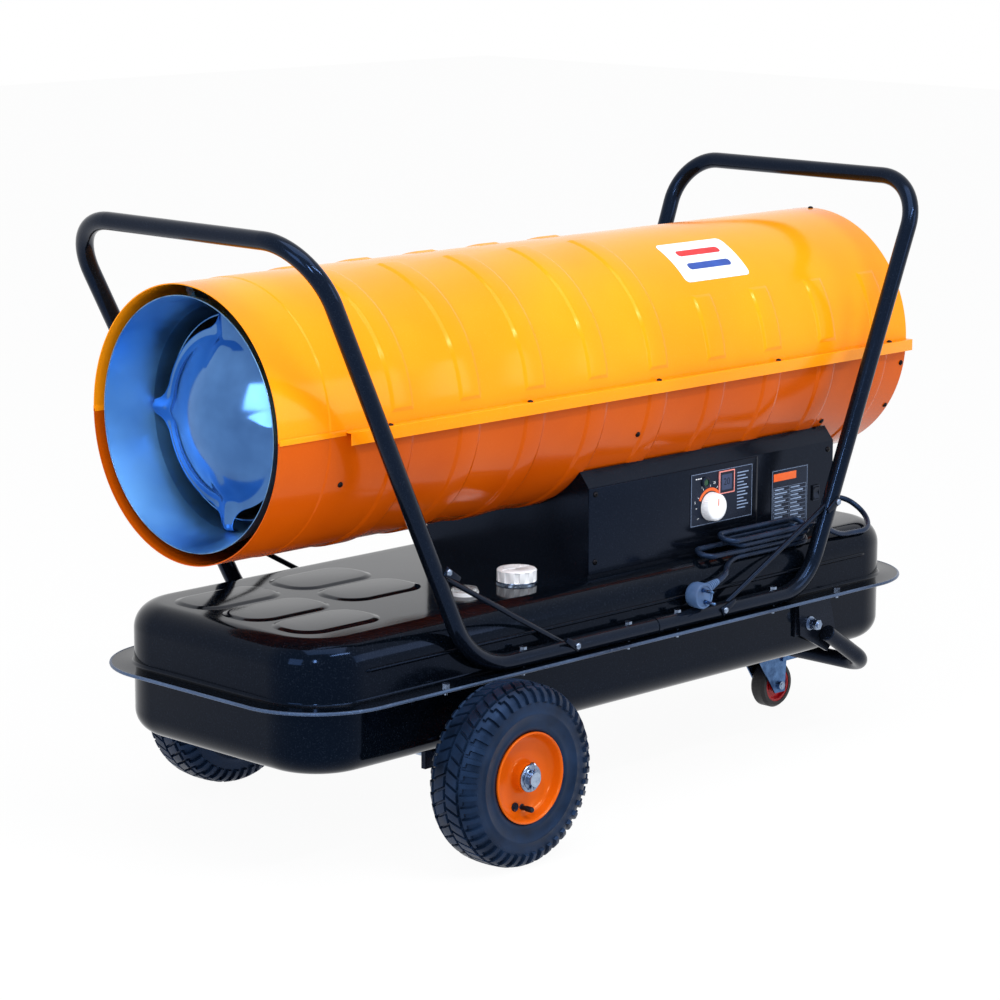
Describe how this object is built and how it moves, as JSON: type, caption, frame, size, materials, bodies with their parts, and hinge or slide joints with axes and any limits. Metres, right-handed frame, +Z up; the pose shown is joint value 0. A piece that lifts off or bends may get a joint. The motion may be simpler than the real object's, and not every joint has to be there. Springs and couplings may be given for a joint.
{
  "type": "diesel forced air heater",
  "caption": "Wheeled diesel forced air heater: ribbed barrel duct on a control box and a flanged fuel tank, with tube handles, braked caster and burner, fan and pump inside.",
  "frame": {"origin": "centre of the whole heater's footprint box, on the floor", "axes": "+X along the barrel towards the intake end, -Y towards the control side, +Z up"},
  "size_m": [1.34, 0.698, 0.8947],
  "materials": {
    "barrel_paint": "glossy orange enamel",
    "rim_paint": "semi-gloss orange enamel",
    "screw_metal": "black oxide",
    "frame_bolt_metal": "zinc plated",
    "liner_metal": "satin sheet steel",
    "deflector_metal": "polished pressed steel",
    "burner_metal": "satin",
    "probe_ceramic": "glazed",
    "fan_metal": "mill finish",
    "shaft_metal": "ground",
    "motor_paint": "satin black",
    "guard_wire": "black powder coat",
    "hose_rubber": "smooth hose",
    "box_paint": "gloss black enamel",
    "plate_print": "printed film",
    "knob_plastic": "moulded white",
    "insert_plastic": "moulded black",
    "window_glass": "tinted window",
    "lamp_lens": "green lens in a black bezel",
    "board": "circuit board",
    "tank_paint": "gloss black enamel",
    "neck_metal": "zinc plated",
    "gasket_rubber": "nitrile",
    "cap_plastic": "moulded white",
    "gauge_plastic": "moulded",
    "gauge_lens": "clear moulded lens",
    "axle_steel": "zinc plated",
    "bracket_paint": "gloss black enamel",
    "tyre_rubber": "treaded rubber",
    "caster_zinc": "bright zinc plate",
    "caster_core": "red moulded core",
    "caster_tread": "dark moulded tread",
    "handle_paint": "gloss black enamel",
    "gland_plastic": "moulded nylon",
    "cord_rubber": "rubber sheath",
    "plug_rubber": "moulded grey rubber"
  },
  "bodies": {
    "heater": {"air_line": "hose_rubber", "air_pump": "motor_paint", "axle": "axle_steel", "axle_brackets": "bracket_paint", "axle_hardware": "axle_steel", "brace_rods": "handle_paint", "burner_nozzle": "burner_metal", "burner_plate": "burner_metal", "burner_probes": "probe_ceramic", "caster_frame": "bracket_paint", "caster_plate": "caster_zinc", "combustion_chamber": "liner_metal", "control_box": "box_paint", "control_electronics": "board", "cord_gland": "gland_plastic", "cord_hank": "cord_rubber", "display_window": "window_glass", "drain_plug": "neck_metal", "face_plates": "plate_print", "fan_guard": "guard_wire", "filler_neck": "neck_metal", "flame_deflector": "deflector_metal", "frame_bolts": "frame_bolt_metal", "frame_brackets": "bracket_paint", "front_handle": "handle_paint", "fuel_line": "hose_rubber", "gauge_body": "gauge_plastic", "gauge_lens": "gauge_lens", "lower_shell": "barrel_paint", "motor": "motor_paint", "motor_bracket": "fan_metal", "outlet_cone": "liner_metal", "outlet_liner": "liner_metal", "panel_inserts": "insert_plastic", "pilot_lamp": "lamp_lens", "plug": "plug_rubber", "power_cord": "cord_rubber", "rear_handle": "handle_paint", "sheet_screws": "screw_metal", "side_cover": "box_paint", "tank_lower": "tank_paint", "tank_upper": "tank_paint", "upper_shell": "barrel_paint"},
    "wheel_near": {"tyre_near": "tyre_rubber", "rim_near": "rim_paint"},
    "wheel_far": {"tyre_far": "tyre_rubber", "rim_far": "rim_paint"},
    "caster_swivel": {"caster_fork": "caster_zinc", "caster_bolt": "caster_zinc"},
    "caster_roller": {"caster_wheel": "caster_core", "caster_tread": "caster_tread"},
    "brake": {"brake_pedal": "caster_zinc"},
    "cap_lift": {"cap_gasket": "gasket_rubber"},
    "cap": {"fuel_cap": "cap_plastic"},
    "knob": {"thermostat_knob": "knob_plastic"},
    "rocker": {"power_rocker": "insert_plastic"},
    "fan_rotor": {"fan": "fan_metal", "motor_shaft": "shaft_metal"},
    "float": {"gauge_float": "gauge_plastic"},
    "pointer": {"gauge_pointer": "gauge_plastic"}
  },
  "joints": [
    {"name": "wheel_near_spin", "type": "hinge", "parent": "heater", "child": "wheel_near", "pos_m": [-0.338, -0.301, 0.13], "axis": [0, 1, 0], "continuous": true},
    {"name": "wheel_far_spin", "type": "hinge", "parent": "heater", "child": "wheel_far", "pos_m": [-0.338, 0.301, 0.13], "axis": [0, 1, 0], "continuous": true},
    {"name": "caster_turn", "type": "hinge", "parent": "heater", "child": "caster_swivel", "pos_m": [0.545, 0, 0.093], "axis": [0, 0, 1], "continuous": true},
    {"name": "caster_roll", "type": "hinge", "parent": "caster_swivel", "child": "caster_roller", "pos_m": [0.58, 0, 0.038], "axis": [0, 1, 0], "continuous": true},
    {"name": "brake_press", "type": "hinge", "parent": "caster_swivel", "child": "brake", "pos_m": [0.588, 0, 0.082], "axis": [0, 1, 0], "range_deg": [0, 3.5]},
    {"name": "cap_pull", "type": "slide", "parent": "heater", "child": "cap_lift", "axis": [0, 0, 1], "range_m": [0, 0.06]},
    {"name": "cap_turn", "type": "hinge", "parent": "cap_lift", "child": "cap", "pos_m": [-0.137, -0.115, 0.35], "axis": [0, 0, 1], "range_deg": [0, 720]},
    {"name": "thermostat_turn", "type": "hinge", "parent": "heater", "child": "knob", "pos_m": [0.224, -0.18, 0.408], "axis": [0, 1, 0], "range_deg": [-135, 135]},
    {"name": "power_rock", "type": "hinge", "parent": "heater", "child": "rocker", "pos_m": [0.476, -0.166, 0.394], "axis": [1, 0, 0], "range_deg": [-7, 7]},
    {"name": "fan_spin", "type": "hinge", "parent": "heater", "child": "fan_rotor", "pos_m": [0.37, 0, 0.619], "axis": [1, 0, 0], "continuous": true},
    {"name": "float_swing", "type": "hinge", "parent": "heater", "child": "float", "pos_m": [-0.245, -0.117, 0.323], "axis": [0, 1, 0], "range_deg": [-33, 42]},
    {"name": "pointer_turn", "type": "hinge", "parent": "heater", "child": "pointer", "pos_m": [-0.245, -0.117, 0.343], "axis": [0, 0, 1], "range_deg": [-53, 68]}
  ],
  "couplings": [
    {"joint": "cap_turn", "follows": "cap_pull", "rad_per_m": 209.44},
    {"joint": "pointer_turn", "follows": "float_swing", "ratio": 1.6}
  ]
}
